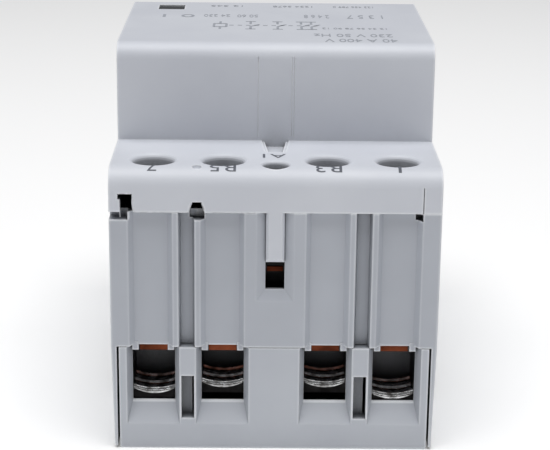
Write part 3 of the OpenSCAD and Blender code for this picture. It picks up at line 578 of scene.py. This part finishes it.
# ---- Black mouldings ----
# Bobbin, crossbar, arc chambers and rail foot, moulded in black glass-filled nylon: matt, with paler flow
# streaks where the fibres lie at the surface.
# The pale last colour is a painted highlight along outer edges.
black_nylon = moulded("glass_filled_black_nylon", ("#1e1f21", "#2b2c2f"), (0.5, 0.68), 1.53, "#5a5c60")
dress(black_nylon, "coil_bobbin", "contact_carrier", "arc_chamber_line", "arc_chamber_load", "rail_clip")

# ---- Coil winding ----
# Enamelled copper wire, wound in even turns on the bobbin between its flanges.
enamel, tree, coord = new_material("enamelled_copper_wire")
# Clear amber enamel over bright copper: a deep orange brown with a lacquer gloss.
batch = add(tree, "TexNoise", {"Vector": (coord, "Object"), "Scale": 1 / (5 * MM), "Detail": 2.0})
wire_tone = add(tree, "Mix", {0: (batch, "Fac"), 6: linear("#8e4420"), 7: linear("#b4602e")}, data_type="RGBA")
lacquer = {"Coat_Weight": 0.7, "Coat_Roughness": 0.12}
finish_material(tree, Base_Color=(wire_tone, 2), Metallic=0.75, Roughness=0.3, **lacquer)
coil_low, coil_high = 15.85, 25.35
wire_pitch, wire_bulge = 0.38, 0.16


def rounded_loop(half_x, half_y, r):
    """A rectangle with round corners in X and Y: 12 points on each corner's arc, and each point's outward way."""
    angle = np.concatenate([np.linspace(0, math.pi / 2, 12) + quarter * math.pi / 2 for quarter in range(4)])
    outward = np.stack([np.cos(angle), np.sin(angle)], -1)
    corner = np.repeat([(1, 1), (-1, 1), (-1, -1), (1, -1)], 12, axis=0) * (half_x - r, half_y - r)
    return corner + r * outward, outward


def winding_points():
    """The winding's ring: rows go round the bobbin, columns go up the outside, which swells at each turn of wire
    and climbs one pitch a round, then down the plain inside."""
    outer, outward = rounded_loop(half_x=14.1, half_y=15.9, r=4)
    inner, _ = rounded_loop(half_x=7.4, half_y=9.4, r=2)
    z = np.linspace(coil_low, coil_high, int((coil_high - coil_low) / wire_pitch * 6))
    round_share = np.linspace(0, 1, len(outer), endpoint=False)[:, None]
    bulge = wire_bulge * np.abs(np.sin(math.pi * (z / wire_pitch - round_share)))
    skin = outer[:, None] + outward[:, None] * bulge[..., None]
    skin = np.concatenate([skin, np.broadcast_to(z[None, :, None], bulge.shape + (1,))], -1)
    hidden = np.stack([np.column_stack([inner, np.full(len(inner), level)]) for level in (coil_high, coil_low)], 1)
    return np.concatenate([skin, hidden], 1)


piece = grid_piece("wound_coil", winding_points(), enamel, "root", ring=True)
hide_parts("coil_winding")

# ---- Springs ----
# Drawn spring wire, coiled with a closed turn at each end: one behind every contact bridge, two under the
# crossbar that push it back up, and one that holds the rail foot in.
spring_steel = worked_metal("drawn_spring_wire", "#a4a7ab", "#74777c", 2.5, (0.2, 0.36), (1, 1, 1))


def spring_points(r, wire, low, high, turns, place, axis=(0, 0, 1)):
    """A helix of mean radius r from low to high along Z, or along Y for that axis. Its climb eases to nothing over
    the first and last turn. A round section of the wire's radius is swept along it."""
    angle = np.linspace(0, 2 * math.pi * turns, int(turns * 26))
    share = np.linspace(0, 1, len(angle))
    closed = 0.9 / turns
    ease = np.clip(np.minimum(share, 1 - share) / closed, 0.12, 1)
    climb = np.concatenate([[0], np.cumsum((ease[1:] + ease[:-1]) / 2)])
    height = low + wire + (high - low - 2 * wire) * climb / climb[-1]
    outward = np.stack([np.cos(angle), np.sin(angle), np.zeros_like(angle)], -1)
    path = outward * r + np.array([[0, 0, 1]]) * height[:, None]
    if axis[1]:
        path, outward = path[:, [0, 2, 1]], outward[:, [0, 2, 1]]
    around = np.linspace(0, 2 * math.pi, 10, endpoint=False)
    section = wire * np.stack([np.cos(around), np.sin(around)], -1)
    return swept(path + np.array(place), outward, section)


plate_top, beam_low, seat_gap = 36.2, 57.0, 0.05
make_z, break_z, bridge_t = 50.5, 40.7, 1.2
for pole, x in pole_x.items():
    low, high = (plate_top, break_z) if pole in (2, 3) else (make_z + bridge_t, beam_low)
    points = spring_points(1.95, 0.24, low + seat_gap, high - seat_gap, 5.5, (x, 0, 0))
    piece = grid_piece(f"bridge_spring_{pole}", points, spring_steel, "crossbar")
    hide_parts(f"contact_spring_{pole}")
for name, side in (("left", -1), ("right", 1)):
    points = spring_points(1.25, 0.22, low=22.05, high=34.55, turns=11, place=(23.2 * side, 0, 0))
    piece = grid_piece(f"opening_spring_{name}", points, spring_steel, "root")
    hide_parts(f"return_spring_{name}")
    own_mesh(piece)
points = spring_points(0.97, 0.2, low=20.05, high=27.95, turns=8, place=(0, 0, 2.0), axis=(0, 1, 0))
piece = grid_piece("foot_spring", points, spring_steel, "root")
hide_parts("rail_clip_spring")
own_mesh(piece)

# ---- Wiring ----
# Two red leads from the coil's pins and a blue one from the board, soft PVC on stranded wire, bent by hand and
# soldered at both ends, and the green glass-epoxy board that carries the rectifier.


def lead_skin(name, tones):
    """Extruded PVC: glossy, with faint rings where it was drawn."""
    material, tree, coord = new_material(name)
    rings = add(tree, "TexNoise", {"Vector": (coord, "Object"), "Scale": 1 / (0.8 * MM), "Detail": 2.0})
    tone = add(tree, "Mix", {0: (rings, "Fac"), 6: linear(tones[0]), 7: linear(tones[1])}, data_type="RGBA")
    finish_material(tree, Base_Color=(tone, 2), Roughness=0.34, IOR=1.54)
    return material


red_pvc = lead_skin("red_pvc_insulation", ("#8e2a24", "#a8362e"))
blue_pvc = lead_skin("blue_pvc_insulation", ("#26375a", "#32466e"))
lead_r, pin_z, bar_under_z, bar_y = 0.45, 28.05, 30.15, 28.4


def lead_points(stops):
    """A round lead through its stops: each corner is cut back to a quarter and three quarters of its sides four
    times over, which leaves a smooth bend, and a circle is carried along."""
    path = np.array(stops, float)
    for _ in range(4):
        near, far = 0.75 * path[:-1] + 0.25 * path[1:], 0.25 * path[:-1] + 0.75 * path[1:]
        path = np.concatenate([path[:1], np.stack([near, far], 1).reshape(-1, 3), path[-1:]])
    around = np.linspace(0, 2 * math.pi, 14, endpoint=False)
    return swept(path, (0, 0, 1), lead_r * np.stack([np.cos(around), np.sin(around)], -1))


leads = {
    "lead_line": ([(11, -17.6, pin_z), (11, -21, pin_z), (0, -bar_y, bar_under_z)], red_pvc),
    "lead_board": ([(11, 17.6, pin_z), (11, 20, pin_z), (9, 21.3, 29.5)], red_pvc),
    "lead_load": ([(-6, 23.9, 29), (-2, 26, 29.6), (0, bar_y, bar_under_z)], blue_pvc),
}
for name, (stops, skin) in leads.items():
    piece = grid_piece(name, lead_points(stops), skin, "root")
    if name == "lead_line":
        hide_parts("coil_leads")
board, tree, coord = new_material("green_glass_epoxy_laminate")
# Solder resist over woven glass: a deep green with the weave just visible, and a semi-gloss. The parts soldered
# on it stand past its face, and are cased in black epoxy.
weave = add(tree, "TexChecker", {"Vector": (coord, "Object"), "Scale": 1 / (0.6 * MM)})
weave.inputs["Color1"].default_value, weave.inputs["Color2"].default_value = linear("#235c33"), linear("#2b6a3c")
place = add(tree, "SeparateXYZ", {"Vector": (coord, "Object")})
face_y = 23.25
past_face = add(tree, "Math", {0: (place, "Y"), 1: face_y * MM}, operation="GREATER_THAN")
cased = add(tree, "Mix", {0: (past_face, 0), 6: (weave, "Color"), 7: linear("#1c1c1e")}, data_type="RGBA")
finish_material(tree, Base_Color=(cased, 2), Roughness=0.36, IOR=1.55)
dress(board, "rectifier_board")

low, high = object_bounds()
